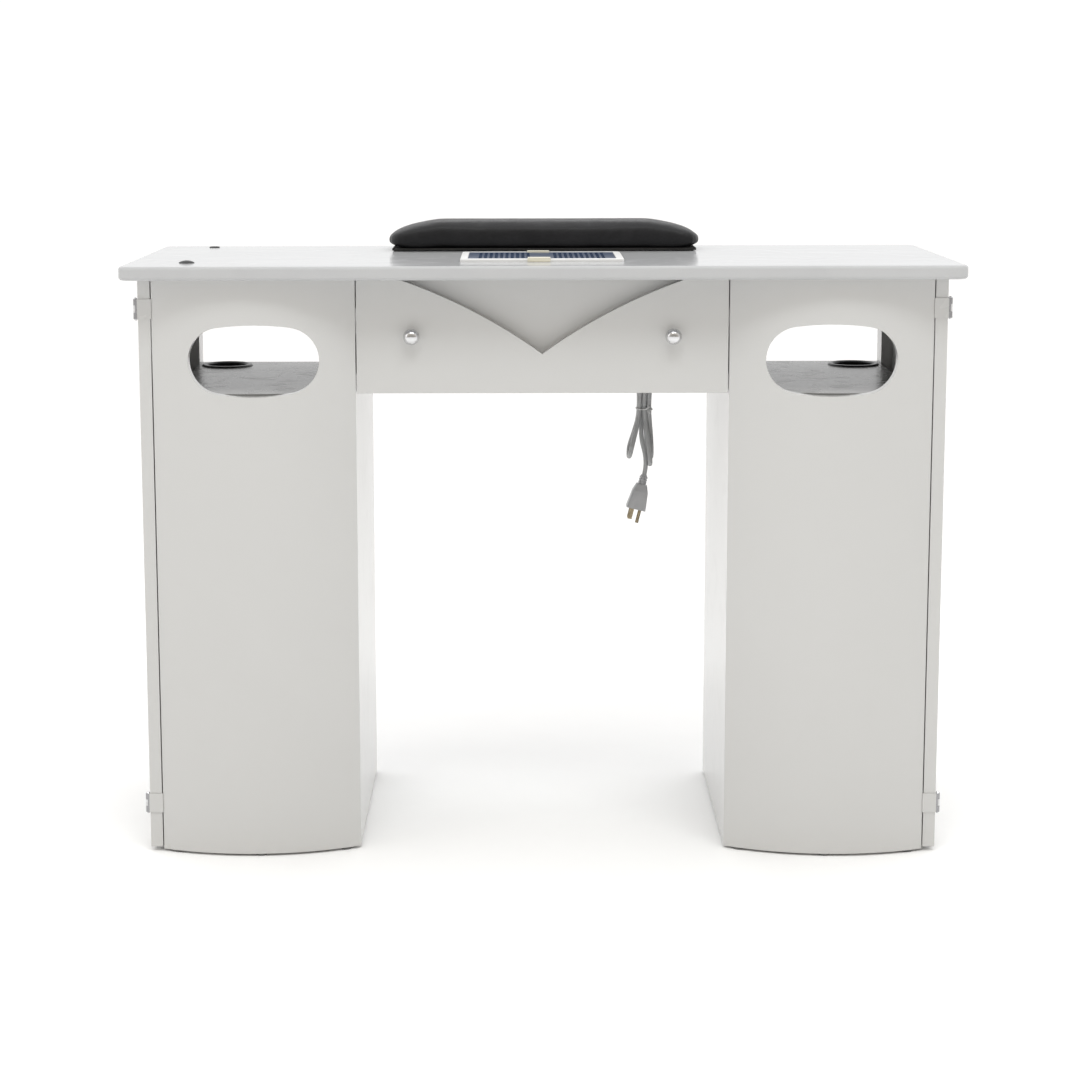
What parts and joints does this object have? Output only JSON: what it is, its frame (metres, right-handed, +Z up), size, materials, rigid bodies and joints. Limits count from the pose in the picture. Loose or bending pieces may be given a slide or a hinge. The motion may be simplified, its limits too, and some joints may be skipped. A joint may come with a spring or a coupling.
{
  "type": "manicure table",
  "caption": "Two-pedestal manicure table with curved fronts, oval openings, notched drawer, lift-out vent grille over a fan, side doors, loose armrest and mains cord.",
  "frame": {"origin": "on the floor under the middle of the table top", "axes": "+Z up, +X to the right as seen from the drawer side, the drawer faces -Y"},
  "size_m": [1.096, 0.43, 0.8305],
  "materials": {
    "stone_top": "polished, faintly clouded",
    "white_lacquer": "gloss white lacquer on board",
    "shelf_board": "satin pale board",
    "chrome": "polished",
    "hinge_steel": "white paint",
    "steel": "zinc plated",
    "white_plastic": "gloss",
    "blue_plastic": "satin moulded",
    "cream_plastic": "satin",
    "black_plastic": "satin moulded",
    "filter": "fibrous",
    "vinyl": "smooth black vinyl",
    "felt": "pressed felt",
    "black_board": "painted board",
    "cord_grey": "satin cord sheath",
    "plug_grey": "satin moulded",
    "brass": "stamped, slightly dull",
    "glide": "satin",
    "tie_white": "coated wire"
  },
  "bodies": {
    "table": {"table_top": "stone_top", "lamp_bush": "black_plastic", "hole_cap": "black_plastic", "vent_frame": "white_plastic", "left_front_panel": "white_lacquer", "right_front_panel": "white_lacquer", "left_inner_side": "white_lacquer", "right_inner_side": "white_lacquer", "rear_stiles": "white_lacquer", "top_rails": "white_lacquer", "back_panels": "white_lacquer", "left_upper_shelf": "shelf_board", "right_upper_shelf": "shelf_board", "lower_shelves": "shelf_board", "bottom_boards": "white_lacquer", "shelf_rings": "black_plastic", "floor_glides": "glide", "corner_brackets": "steel", "frame_leaves": "hinge_steel", "hinge_pins": "chrome", "catch_magnets": "black_plastic", "slide_channels": "steel", "fan_housing": "white_plastic", "rear_rail": "white_lacquer", "fan_frame": "black_plastic", "fan_guard": "steel", "switch_body": "black_plastic", "strain_relief": "cord_grey", "cord_lead": "cord_grey", "cord_hank": "cord_grey", "cord_tie": "tie_white", "cord_tail": "cord_grey", "plug_sleeve": "plug_grey", "plug_body": "plug_grey", "plug_blades": "brass", "plug_pin": "brass"},
    "left_door": {"left_side_door": "white_lacquer", "left_door_leaves": "chrome", "left_catch_plate": "steel", "left_door_knob": "chrome"},
    "right_door": {"right_side_door": "white_lacquer", "right_door_leaves": "chrome", "right_catch_plate": "steel", "right_door_knob": "chrome"},
    "drawer": {"drawer_facing": "white_lacquer", "drawer_board": "white_lacquer", "tray_sides": "white_lacquer", "tray_back": "white_lacquer", "tray_bottom": "shelf_board", "drawer_knobs": "chrome", "slide_runners": "steel"},
    "fan": {"fan_rotor": "black_plastic"},
    "rocker": {"switch_rocker": "black_plastic"},
    "grille": {"vent_grille": "blue_plastic", "grille_tabs": "cream_plastic", "filter_pad": "filter"},
    "armrest": {"armrest_pad": "vinyl", "armrest_board": "black_board", "armrest_feet": "felt"}
  },
  "joints": [
    {"name": "drawer_slide", "type": "slide", "parent": "table", "child": "drawer", "axis": [0, -1, 0], "range_m": [0, 0.15]},
    {"name": "left_door_hinge", "type": "hinge", "parent": "table", "child": "left_door", "pos_m": [-0.5303, -0.167, 0.39], "axis": [0, 0, 1], "range_deg": [0, 110]},
    {"name": "right_door_hinge", "type": "hinge", "parent": "table", "child": "right_door", "pos_m": [0.5303, -0.167, 0.39], "axis": [0, 0, -1], "range_deg": [0, 110]},
    {"name": "fan_spin", "type": "hinge", "parent": "table", "child": "fan", "pos_m": [0, 0.12, 0.715], "axis": [0, 0, -1], "continuous": true},
    {"name": "switch_rock", "type": "hinge", "parent": "table", "child": "rocker", "pos_m": [-0.115, 0.15, 0.702], "axis": [0, -1, 0], "range_deg": [0, 16]},
    {"name": "grille_lift", "type": "slide", "parent": "table", "child": "grille", "axis": [0, 0, 1], "range_m": [0, 0.05]},
    {"name": "armrest_lift", "type": "slide", "parent": "table", "child": "armrest", "axis": [0, 0, 1], "range_m": [0, 0.1]}
  ]
}
